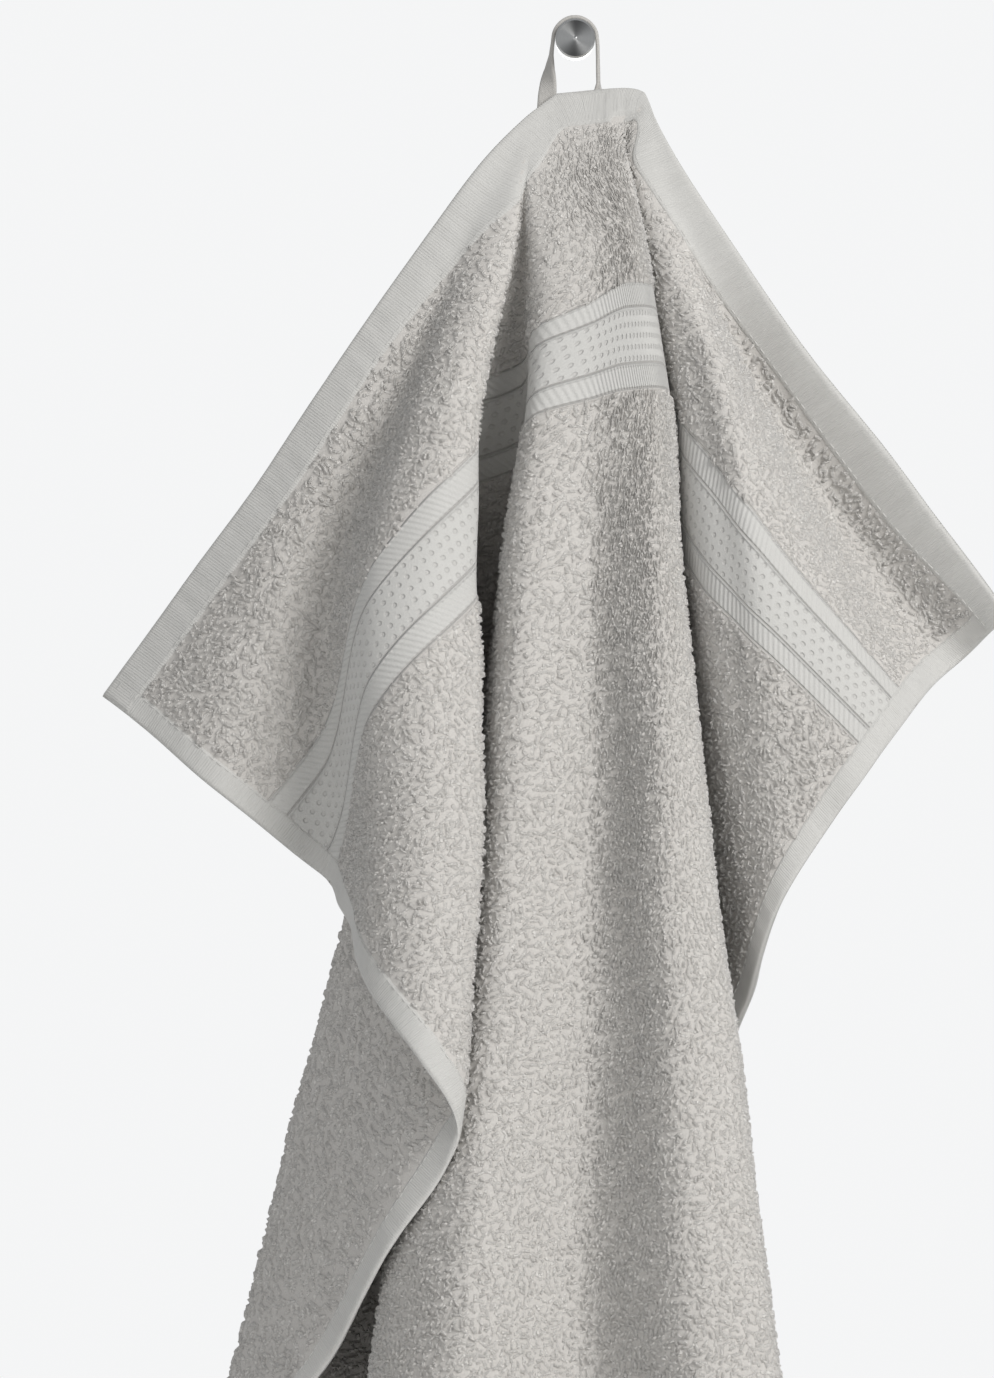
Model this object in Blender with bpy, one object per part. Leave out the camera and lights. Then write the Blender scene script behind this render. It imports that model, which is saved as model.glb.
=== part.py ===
"""Hand towel on a hook: a terry hand towel that hangs by its loop from a turned steel peg.

Metres, +Z up. The origin is the centre of the peg's back face, on the wall, and the viewer is towards -Y.
The drape is worked out in millimetres and turned into metres when a mesh is made.
"""

import math

import bpy
import numpy as np

# The flat towel
TOWEL_WIDTH = 500.0
TOWEL_LENGTH = 900.0
TERRY_THICKNESS = 2.4
HEM_THICKNESS = 1.8
GATHER_THICKNESS = 1.2
GATHER_RADIUS = 80.0
TOP_HEM_DEPTH = 13.5
SIDE_HEM_WIDTH = 8.5

# The short stretch of the top hem, between the loop's two ends, from which the towel hangs
SHOULDER_LEFT_U = 244.0
SHOULDER_RIGHT_U = 290.0
SHOULDER_LEFT = np.array([-6.25, -27.0, -17.6])
SHOULDER_RIGHT = np.array([22.3, -27.0, -14.8])

# The peg
PEG_RADIUS = 6.1
RIM_RADIUS = 6.4
PEG_LENGTH = 34.6
RIM_LENGTH = 4.4
RIM_CHAMFER = 0.6
POINT_RADIUS = 0.7
POINT_HEIGHT = 0.4
PEG_SIDES = 64

# The loop's tape
TAPE_WIDTH = 6.0
TAPE_THICKNESS = 1.3
TAPE_Y = -24.0

# Distances from the shoulder, along the cloth, at which the folds are given
FOLD_RADII = (12, 30, 60, 100, 160, 250, 400, 930)

# Each fold runs out from the shoulder. share says where on the shoulder it starts, from 0, left, to 1, right.
# aside is its lean to the right and forward its lean off the wall, in degrees, at each of FOLD_RADII.
# name, share, aside, forward
FOLDS = (
    ("left hem", 0.0, (-52, -48, -42.5, -39.5, -37.5, -37, -37, -52), (24, 20, 13, 6.5, 0, -4.2, -2.5, -1)),
    ("left panel", 0.0, (-47, -43, -37, -33.4, -31, -27, -25, -33), (24.5, 20.5, 14.6, 8.8, 3.4, 1.6, 1, 0)),
    ("step foot", 0.0, (-43, -37, -31, -27.5, -25.5, -17.5, -12.6, -12), (25, 21.5, 16, 9.6, 2.6, 1, 0, 0)),
    ("step top", 0.0, (-39, -31, -26.5, -23.4, -21, -13.4, -9.6, -9.5), (26, 23, 19.5, 16, 13, 11.6, 12, 5.8)),
    ("left front", 0.0, (-35.5, -26.5, -20.4, -18.4, -15, -9.6, -7.2, -7.3), (27, 25.4, 22.5, 18.4, 15.6, 13.6, 13.4, 6.8)),
    ("fold b", 0.0, (-32, -22.8, -15.4, -14.2, -9.4, -5.8, -5.2, -5.2), (28, 26.6, 22, 16, 12.8, 11.6, 12, 6.4)),
    ("back of b", 0.0, (-31.4, -22.2, -15.2, -15.4, -11.6, -8.8, -8.5, -9), (27.9, 26.2, 18, 12, 9, 8, 8.4, 4.4)),
    ("fold a", 0.0, (-30.8, -21.6, -16, -17.6, -15.8, -14.3, -14.1, -14.1), (27.8, 26.2, 14.6, 5, -1.5, -3.6, -2.6, 0)),
    ("behind a", 0.0, (-30.2, -21, -14.8, -16.5, -14, -12.6, -12.6, -13), (27.7, 26, 13.2, 2.5, -4.6, -4.4, -2.8, -1)),
    ("valley", 0.0, (-29.6, -20.4, -12.3, -11.5, -9, -8, -7.5, -8), (27.7, 26, 12.8, 1.5, -4, -3.4, -1.5, 0)),
    ("fold v", 0.0, (-29, -19.7, -9.8, -6, -3.2, -3, -3, -4.6), (27.8, 26.1, 14, 4, -0.4, -0.4, 0.6, 1)),
    ("back of v", 0.0, (-28.4, -19, -8.4, -4.8, -3.2, -3.4, -3.4, -5), (27.9, 26.2, 16.6, 8, 3.8, 3, 3.4, 2.8)),
    ("crest e", 0.0, (-27.6, -18.2, -8, -5, -6.4, -6.6, -8.1, -8), (28.2, 26.8, 20.5, 15.4, 10.4, 6.4, 6.4, 5)),
    ("left crest", 0.0, (-14, -7, -3, -3.2, -4, -3.9, -4.6, -4.8), (30, 29, 24.4, 19, 14.2, 11.2, 11, 6.6)),
    ("middle trough", 0.5, (0, 0.5, 0, -0.5, -0.6, -0.5, -0.7, 0), (31, 30.4, 25.4, 19.2, 12.8, 9.6, 8.8, 4)),
    ("right crest", 0.62, (0.8, 3.9, 8.4, 8.0, 5.5, 4.2, 3.8, 3.9), (31, 30.5, 25.4, 19.6, 15, 13, 12.4, 6.4)),
    ("fold c", 0.7, (2.6, 7.0, 9.3, 9.1, 7.2, 6.6, 6.9, 6.3), (31.2, 29.6, 22, 16.8, 13, 11.4, 10.8, 4.4)),
    ("back of c", 0.71, (6.6, 1.6, 6.4, 7.3, 5.2, 4.3, 4.4, 3.8), (31, 23, 18.6, 11, 7.6, 6, 5.4, 1.4)),
    ("fold d", 0.72, (11.7, -5.5, 0.1, 0.6, -3.5, -6.1, -6.8, -6.5), (31, 20, 14, -1, -5.5, -4.4, -2.8, -1.1)),
    ("back of d", 0.73, (17.0, -4.8, 0.8, 4.0, 0.2, -0.8, -1.5, -1.0), (31, 17.4, 11, 0, -5.5, -4.3, -2.6, -1)),
    ("right root", 0.74, (21.8, 6.4, 9.5, 11.1, 9.6, 7.9, 7.3, 7.1), (31, 24.6, 17.4, 16.2, 13.4, 7.4, 6, 3)),
    ("right rise", 0.8, (20.5, 7.3, 10.8, 13.5, 12.2, 9.1, 8.2, 8.8), (31, 26.4, 19, 18.4, 15.8, 8.8, 8, 4)),
    ("right ridge", 0.86, (18.1, 7.5, 12.4, 16.6, 14.6, 11.3, 10.2, 12.3), (31, 26.6, 19.6, 20, 17.6, 10, 9.4, 6)),
    ("right slope", 0.91, (17.4, 10.2, 14.9, 19.0, 19.4, 19.6, 19.0, 26.2), (31, 26.2, 18.4, 15, 14.5, 9.4, 9, 8)),
    ("right trough", 0.96, (16.6, 14.4, 18.2, 21.1, 24.7, 29.3, 29.2, 42.1), (31, 25.4, 15.4, 7.6, 4.4, 4.4, 5, 5)),
    ("right hem", 1.0, (17.6, 23.6, 28.6, 31.0, 33.8, 34.4, 34.0, 52.0), (31.2, 26, 17, 11.4, 8.6, 8.2, 8, 8)),
)

# Where some folds run on the flat towel, at each of FOLD_RADII: the angle at the shoulder, from the left hem, 0,
# to the right hem, 180, and how much of the shoulder lies to the fold's left, from 0 to 1
# fold's number, angle, shoulder
PINNED_FOLDS = (
    (5, (8, 14, 25, 33.5, 37.6, 41.2, 46.4, 54), (0, 0, 0, 0, 0, 0, 0, 0)),
    (12, (14, 22, 45, 66, 74.5, 78, 80, 80), (0, 0, 0, 0, 0, 0, 0, 0)),
    (13, (32, 36, 49, 69.5, 79.5, 84.5, 86.4, 84), (0, 0, 0, 0, 0, 0, 0, 0)),
    (14, (90, 88, 69, 80, 87.5, 90, 90, 90), (0.4, 0.45, 0, 0, 0, 0.14, 0.5, 0.2)),
    (15, (90, 90, 90, 90, 90, 92.5, 94, 93.4), (0.62, 0.8, 0.37, 0.58, 0.98, 1, 1, 1)),
    (16, (91, 91, 91.5, 99, 98.5, 98, 98, 97), (0.72, 1, 1, 1, 1, 1, 1, 1)),
    (20, (140, 150, 150, 143.5, 142.5, 135, 133, 128), (0.74, 1, 1, 1, 1, 1, 1, 1)),
    (22, (152, 158, 158, 153.2, 151.1, 142.3, 140.5, 137), (0.86, 1, 1, 1, 1, 1, 1, 1)),
    (24, (167, 169, 169.5, 169, 171, 169, 167, 160), (0.95, 1, 1, 1, 1, 1, 1, 1)),
)
# The mesh's columns run out from the shoulder. Angles are from the left hem, 0, to the right hem, 180.
# from, to, columns
COLUMN_RUNS = (
    (0.0, 32.0, 12),
    (32.0, 50.0, 17),
    (50.0, 81.0, 26),
    (81.0, 90.0, 7),
    (90.0, 98.0, 7),
    (98.0, 142.0, 31),
    (142.0, 162.0, 13),
    (162.0, 180.0, 11),
)
SHOULDER_COLUMNS = 3
FAN_SPREAD = 70.0
ROWS = 21
ROW_POWER = 1.35

SECTION_POINTS = 721
POINTS_PER_FOLD = 24


def clear_scene():
    for thing in list(bpy.data.objects):
        bpy.data.objects.remove(thing)


def material(name, colour, roughness, metallic):
    made = bpy.data.materials.new(name)
    made.use_nodes = True
    shader = made.node_tree.nodes["Principled BSDF"]
    shader.inputs["Base Color"].default_value = (*colour, 1.0)
    shader.inputs["Roughness"].default_value = roughness
    shader.inputs["Metallic"].default_value = metallic
    made.diffuse_color = (*colour, 1.0)
    return made


def add_mesh(name, points, faces, finish, smooth):
    """A mesh object from points in millimetres."""
    mesh = bpy.data.meshes.new(name)
    mesh.from_pydata([tuple(p) for p in np.asarray(points) / 1000.0], [], faces)
    mesh.validate()
    mesh.update()
    for polygon in mesh.polygons:
        polygon.use_smooth = smooth
    mesh.materials.append(finish)
    thing = bpy.data.objects.new(name, mesh)
    bpy.context.scene.collection.objects.link(thing)
    return thing


def smooth_value(x, xs, ys):
    """The value at x of a smooth curve through the points, which doesn't overshoot them."""
    xs = np.asarray(xs, float)
    ys = np.asarray(ys, float)
    step = np.diff(xs)
    slope = np.diff(ys) / step
    at = np.zeros_like(ys)
    at[0] = slope[0]
    at[-1] = slope[-1]
    for k in range(1, len(xs) - 1):
        if slope[k - 1] * slope[k] > 0:
            before = 2 * step[k] + step[k - 1]
            after = step[k] + 2 * step[k - 1]
            at[k] = (before + after) / (before / slope[k - 1] + after / slope[k])
    x = np.clip(x, xs[0], xs[-1])
    k = np.clip(np.searchsorted(xs, x) - 1, 0, len(step) - 1)
    t = (x - xs[k]) / step[k]
    low = (1 + 2 * t) * (1 - t) ** 2 * ys[k] + t * (1 - t) ** 2 * step[k] * at[k]
    return low + t * t * (3 - 2 * t) * ys[k + 1] + t * t * (t - 1) * step[k] * at[k + 1]


def fold_points(radius):
    """Where each fold is at this distance from the shoulder."""
    scale = np.log(np.array(FOLD_RADII, float) + 20.0)
    x = math.log(radius + 20.0)
    points = []
    for _, share, asides, forwards in FOLDS:
        aside = math.radians(smooth_value(x, scale, asides))
        forward = math.radians(smooth_value(x, scale, forwards))
        start = SHOULDER_LEFT + (SHOULDER_RIGHT - SHOULDER_LEFT) * share
        level = math.cos(forward)
        way = np.array([math.sin(aside) * level, -math.sin(forward), -math.cos(aside) * level])
        points.append(start + radius * way)
    return np.array(points)


def rounded_curve(points, per_span):
    """A centripetal Catmull-Rom curve through the points."""
    p = np.vstack([2 * points[0] - points[1], points, 2 * points[-1] - points[-2]])
    spans = []
    for k in range(1, len(p) - 2):
        a, b, c, d = p[k - 1 : k + 3]
        gaps = np.linalg.norm(np.diff(p[k - 1 : k + 3], axis=0), axis=1)
        t0, t1, t2, t3 = np.concatenate([[0.0], np.cumsum(np.sqrt(np.maximum(gaps, 1e-6)))])
        t = np.linspace(t1, t2, per_span, endpoint=False)[:, None]
        ab = ((t1 - t) * a + (t - t0) * b) / (t1 - t0)
        bc = ((t2 - t) * b + (t - t1) * c) / (t2 - t1)
        cd = ((t3 - t) * c + (t - t2) * d) / (t3 - t2)
        abc = ((t2 - t) * ab + (t - t0) * bc) / (t2 - t0)
        bcd = ((t3 - t) * bc + (t - t1) * cd) / (t3 - t1)
        spans.append(((t2 - t) * abc + (t - t1) * bcd) / (t2 - t1))
    return np.vstack(spans + [points[-1:]])


def drape_sections():
    """Sections of the draped cloth at growing distances from the shoulder, each spaced evenly along the cloth."""
    near = np.linspace(4.0, 60.0, 29)[:-1]
    mid = np.linspace(60.0, 260.0, 51)[:-1]
    far = np.linspace(260.0, 940.0, 69)
    radii = np.concatenate([[0.0, 1.5], near, mid, far])
    shoulder = SHOULDER_RIGHT_U - SHOULDER_LEFT_U
    scale = np.log(np.array(FOLD_RADII, float) + 20.0)
    sections = []
    for radius in radii:
        curve = rounded_curve(fold_points(radius), POINTS_PER_FOLD)
        steps = np.linalg.norm(np.diff(curve, axis=0), axis=1)
        along = np.concatenate([[0.0], np.cumsum(steps)])
        whole = math.pi * radius + shoulder
        pins = [(0.0, 0.0), (whole, along[-1])]
        if radius > 0:
            for fold, turns, shares in PINNED_FOLDS:
                turn = smooth_value(math.log(radius + 20.0), scale, turns)
                share = smooth_value(math.log(radius + 20.0), scale, shares)
                pins.append((radius * math.radians(turn) + shoulder * share, along[fold * POINTS_PER_FOLD]))
        cloths, places = np.array(sorted(pins)).T
        at = smooth_value(np.linspace(0.0, whole, SECTION_POINTS), cloths, places)
        sections.append(np.stack([np.interp(at, along, curve[:, axis]) for axis in range(3)], axis=1))
    return radii, np.array(sections)


def place_cloth(u, v, radii, sections):
    """Where points of the flat towel are when it hangs. u runs from the left edge and v down from the top hem."""
    nearest = np.clip(u, SHOULDER_LEFT_U, SHOULDER_RIGHT_U)
    radius = np.hypot(u - nearest, v)
    left_turn = np.arctan2(v, np.abs(nearest - u))
    turn = np.where(u < SHOULDER_LEFT_U, left_turn, math.pi - left_turn)
    turn = np.where(nearest == u, math.pi / 2, turn)
    along = radius * turn + nearest - SHOULDER_LEFT_U
    whole = math.pi * radius + SHOULDER_RIGHT_U - SHOULDER_LEFT_U
    column = along / whole * (SECTION_POINTS - 1)
    row = np.interp(radius, radii, np.arange(len(radii)))
    i = np.clip(column.astype(int), 0, SECTION_POINTS - 2)
    j = np.clip(row.astype(int), 0, len(radii) - 2)
    a = (column - i)[..., None]
    b = (row - j)[..., None]
    upper = (1 - a) * sections[j, i] + a * sections[j, i + 1]
    lower = (1 - a) * sections[j + 1, i] + a * sections[j + 1, i + 1]
    return (1 - b) * upper + b * lower


def edge_point(angle):
    """Where a line from the shoulder at this angle leaves the flat towel."""
    turn = math.radians(angle)
    start = SHOULDER_LEFT_U if angle <= 90 else SHOULDER_RIGHT_U
    side = start if angle <= 90 else TOWEL_WIDTH - start
    reach = TOWEL_LENGTH / max(math.sin(turn), 1e-9)
    if abs(math.cos(turn)) > 1e-9:
        reach = min(reach, side / abs(math.cos(turn)))
    return start - reach * math.cos(turn), reach * math.sin(turn)


def towel_columns():
    """The start and end of each mesh column on the flat towel."""
    columns = []
    for first, last, count in COLUMN_RUNS:
        if first == 90.0:
            for k in range(1, SHOULDER_COLUMNS):
                u = SHOULDER_LEFT_U + (SHOULDER_RIGHT_U - SHOULDER_LEFT_U) * k / SHOULDER_COLUMNS
                columns.append(((u, 0.0), (u, TOWEL_LENGTH)))
            columns.append(((SHOULDER_RIGHT_U, 0.0), (SHOULDER_RIGHT_U, TOWEL_LENGTH)))
        for k in range(0 if first == 0.0 else 1, count + 1):
            angle = first + (last - first) * k / count
            if angle <= 90.0:
                start = SHOULDER_LEFT_U - FAN_SPREAD * (1 - angle / 90.0)
            else:
                start = SHOULDER_RIGHT_U + FAN_SPREAD * (angle / 90.0 - 1)
            columns.append(((start, 0.0), edge_point(angle)))
    return np.array(columns)


def sheet_thickness(u, v):
    """Terry is thick, the hems are flat, and the gathers at the shoulder press the cloth thin."""
    from_side = np.minimum(u, TOWEL_WIDTH - u) - SIDE_HEM_WIDTH
    from_end = np.minimum(v, TOWEL_LENGTH - v) - TOP_HEM_DEPTH
    nearest = np.clip(u, SHOULDER_LEFT_U, SHOULDER_RIGHT_U)
    from_shoulder = np.hypot(u - nearest, v)
    share = np.clip(np.minimum(from_side, from_end) / 6.0, 0.0, 1.0)
    pressed = np.clip((from_shoulder - 10.0) / GATHER_RADIUS, 0.0, 1.0)
    full = HEM_THICKNESS + (TERRY_THICKNESS - HEM_THICKNESS) * share
    return GATHER_THICKNESS + (full - GATHER_THICKNESS) * pressed


def surface_normals(points):
    """The mean direction, towards the viewer on the towel's front, of the faces round each point."""
    across = points[:-1, 1:] - points[1:, :-1]
    down = points[1:, 1:] - points[:-1, :-1]
    faces = np.cross(down, across)
    faces /= np.maximum(np.linalg.norm(faces, axis=2, keepdims=True), 1e-9)
    normals = np.zeros_like(points)
    normals[:-1, :-1] += faces
    normals[:-1, 1:] += faces
    normals[1:, :-1] += faces
    normals[1:, 1:] += faces
    return normals / np.maximum(np.linalg.norm(normals, axis=2, keepdims=True), 1e-9)


def closed_sheet(front, back):
    """The points and faces of a solid between two grids of points."""
    rows, columns = front.shape[:2]
    half = rows * columns

    def at(row, column, side):
        return side * half + row * columns + column

    faces = []
    for row in range(rows - 1):
        for column in range(columns - 1):
            corners = ((row, column), (row, column + 1), (row + 1, column + 1), (row + 1, column))
            faces.append(tuple(at(r, c, 0) for r, c in reversed(corners)))
            faces.append(tuple(at(r, c, 1) for r, c in corners))
    rim = [(0, c) for c in range(columns - 1)]
    rim += [(r, columns - 1) for r in range(rows - 1)]
    rim += [(rows - 1, c) for c in range(columns - 1, 0, -1)]
    rim += [(r, 0) for r in range(rows - 1, 0, -1)]
    for k, (row, column) in enumerate(rim):
        next_row, next_column = rim[(k + 1) % len(rim)]
        faces.append(
            (at(row, column, 0), at(next_row, next_column, 0), at(next_row, next_column, 1), at(row, column, 1))
        )
    return np.vstack([front.reshape(-1, 3), back.reshape(-1, 3)]), faces


def make_towel(finish):
    columns = towel_columns()
    share = (np.arange(ROWS + 1) / ROWS) ** ROW_POWER
    starts = columns[:, 0]
    ends = columns[:, 1]
    flat = starts[None] + (ends - starts)[None] * share[:, None, None]
    u = flat[..., 0]
    v = flat[..., 1]
    radii, sections = drape_sections()
    middle = place_cloth(u, v, radii, sections)
    offset = surface_normals(middle) * sheet_thickness(u, v)[..., None] / 2
    points, faces = closed_sheet(middle + offset, middle - offset)
    return add_mesh("towel", points, faces, finish, True)


# The tape's path from its left end, behind the hem, over the peg to its right end.
# turn is 0 where the tape's width runs along Y, as on the peg, and 90 where it faces the viewer.
# x, y, z, turn
TAPE_PATH = (
    (-9.6, -27.3, -28.5, 90),
    (-9.4, -26.1, -24.0, 90),
    (-9.1, -24.8, -19.5, 86),
    (-8.7, -24.0, -14.5, 62),
    (-8.2, -24.0, -9.5, 24),
    (-7.7, -24.0, -5.0, 4),
    (-7.25, -24.0, -1.2, 0),
    (-6.6, -24.0, 2.6, 0),
    (-5.0, -24.0, 5.0, 0),
    (-2.6, -24.0, 6.65, 0),
    (0.0, -24.0, 7.15, 0),
    (2.6, -24.0, 6.65, 0),
    (5.0, -24.0, 5.0, 0),
    (6.6, -24.0, 2.6, 0),
    (7.2, -24.0, -1.2, 0),
    (7.3, -23.8, -5.0, 0),
    (7.4, -23.2, -9.5, 2),
    (7.5, -22.6, -14.0, 12),
    (7.6, -23.4, -18.5, 62),
    (7.6, -26.1, -23.0, 90),
    (7.6, -28.8, -27.5, 90),
)
TAPE_STEPS = 3


def make_loop(finish):
    path = np.array([row[:3] for row in TAPE_PATH], float)
    turns = np.array([row[3] for row in TAPE_PATH], float)
    line = rounded_curve(path, TAPE_STEPS)
    turn = np.radians(np.interp(np.arange(len(line)) / TAPE_STEPS, np.arange(len(turns)), turns))
    along = np.gradient(line, axis=0)
    along /= np.linalg.norm(along, axis=1, keepdims=True)
    # Towards the viewer and square to the path, then turned about it
    flat = np.array([0.0, 1.0, 0.0]) - along * along[:, 1:2]
    flat /= np.linalg.norm(flat, axis=1, keepdims=True)
    side = np.cross(along, flat)
    width = flat * np.cos(turn)[:, None] + side * np.sin(turn)[:, None]
    thick = np.cross(along, width)
    rings = []
    for w, t in ((-1, -1), (1, -1), (1, 1), (-1, 1)):
        rings.append(line + width * w * TAPE_WIDTH / 2 + thick * t * TAPE_THICKNESS / 2)
    rings = np.stack(rings, axis=1)
    count = len(line)
    faces = []
    for k in range(count - 1):
        for c in range(4):
            d = (c + 1) % 4
            faces.append((4 * k + c, 4 * k + d, 4 * k + 4 + d, 4 * k + 4 + c))
    faces.append((3, 2, 1, 0))
    last = 4 * (count - 1)
    faces.append((last, last + 1, last + 2, last + 3))
    return add_mesh("hanging_loop", rings.reshape(-1, 3), faces, finish, False)


def make_hook(finish):
    """The turned peg, from the wall to its face, with the small point that the lathe leaves at the centre."""
    front = -PEG_LENGTH
    # radius, y
    profile = (
        (PEG_RADIUS, 0.0),
        (PEG_RADIUS, front + RIM_LENGTH),
        (RIM_RADIUS, front + RIM_LENGTH - 0.6),
        (RIM_RADIUS, front + RIM_CHAMFER),
        (RIM_RADIUS - RIM_CHAMFER, front),
        (POINT_RADIUS, front),
    )
    points = []
    for radius, y in profile:
        for k in range(PEG_SIDES):
            angle = 2 * math.pi * k / PEG_SIDES
            points.append((radius * math.cos(angle), y, radius * math.sin(angle)))
    tip = len(points)
    points.append((0.0, front - POINT_HEIGHT, 0.0))
    faces = []
    for ring in range(len(profile) - 1):
        for k in range(PEG_SIDES):
            a = ring * PEG_SIDES + k
            b = ring * PEG_SIDES + (k + 1) % PEG_SIDES
            faces.append((a, b, b + PEG_SIDES, a + PEG_SIDES))
    last = (len(profile) - 1) * PEG_SIDES
    for k in range(PEG_SIDES):
        faces.append((last + k, last + (k + 1) % PEG_SIDES, tip))
    faces.append(tuple(range(PEG_SIDES - 1, -1, -1)))
    return add_mesh("hook", points, faces, finish, False)


clear_scene()
terry = material("terry", (0.56, 0.54, 0.51), 0.95, 0.0)
tape = material("tape", (0.46, 0.44, 0.41), 0.85, 0.0)
steel = material("steel", (0.62, 0.61, 0.59), 0.3, 1.0)
make_towel(terry)
make_loop(tape)
make_hook(steel)
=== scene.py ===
"""Hand towel on a hook: a terry hand towel that hangs by its loop from a turned steel peg.

The towel is made flat and then hung on its folds, and the loop's tape is bent along its path. The peg keeps
its own shape.
Metres, +Z up, and the viewer is towards -Y. The drape itself is worked out in millimetres.
"""

import math

import bmesh
import bpy
import numpy as np
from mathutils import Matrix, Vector


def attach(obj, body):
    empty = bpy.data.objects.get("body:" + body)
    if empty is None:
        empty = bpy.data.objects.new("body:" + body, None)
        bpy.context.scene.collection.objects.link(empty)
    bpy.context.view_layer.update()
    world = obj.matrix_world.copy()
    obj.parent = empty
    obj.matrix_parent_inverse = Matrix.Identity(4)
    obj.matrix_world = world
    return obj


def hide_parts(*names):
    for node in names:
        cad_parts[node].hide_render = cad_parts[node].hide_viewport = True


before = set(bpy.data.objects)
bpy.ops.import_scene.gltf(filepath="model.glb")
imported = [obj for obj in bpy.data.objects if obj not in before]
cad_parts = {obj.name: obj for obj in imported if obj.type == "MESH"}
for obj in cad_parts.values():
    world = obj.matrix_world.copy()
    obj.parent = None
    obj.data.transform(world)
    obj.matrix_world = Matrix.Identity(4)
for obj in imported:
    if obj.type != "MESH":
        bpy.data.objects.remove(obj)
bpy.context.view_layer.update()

# The flat towel, in millimetres
TOWEL_WIDTH = 500.0
TOWEL_LENGTH = 900.0
TOP_HEM_DEPTH = 13.5
SIDE_HEM_WIDTH = 8.5
GROUND_THICKNESS = 1.5
TOP_HEM_THICKNESS = 2.3
SIDE_HEM_THICKNESS = 2.0

# The gathers at the shoulder press the cloth to this share of its thickness, and let go of it from START on
GATHER_START = 10.0
GATHER_RADIUS = 80.0
GATHER_PRESS = 0.55

# The woven border: two twill strips with a strip of small pits between them
BORDER_START = 70.0
TWILL_DEPTH = 8.0
PITS_DEPTH = 18.0
BORDER_END = BORDER_START + 2 * TWILL_DEPTH + PITS_DEPTH
PIT_SPACING = 3.6

# The short stretch of the top hem, between the loop's two ends, from which the towel hangs
SHOULDER_LEFT_U = 244.0
SHOULDER_RIGHT_U = 290.0
SHOULDER_LEFT = np.array([-6.25, -27.0, -17.6])
SHOULDER_RIGHT = np.array([22.3, -27.0, -14.8])

# The short pinch in the hem under its corner, as seen from the front: x and z
PINCH_FROM = np.array([13.4, -26.6])
PINCH_TO = np.array([20.6, -23.4])
PINCH_DEPTH = 1.8
PINCH_WIDTH = 1.2
PINCH_FADE = 0.6

# The loop's tape
TAPE_WIDTH = 6.0
TAPE_THICKNESS = 1.3

# Distances from the shoulder, along the cloth, at which the folds are given
FOLD_RADII = (12, 30, 60, 100, 160, 250, 400, 930)

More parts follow.
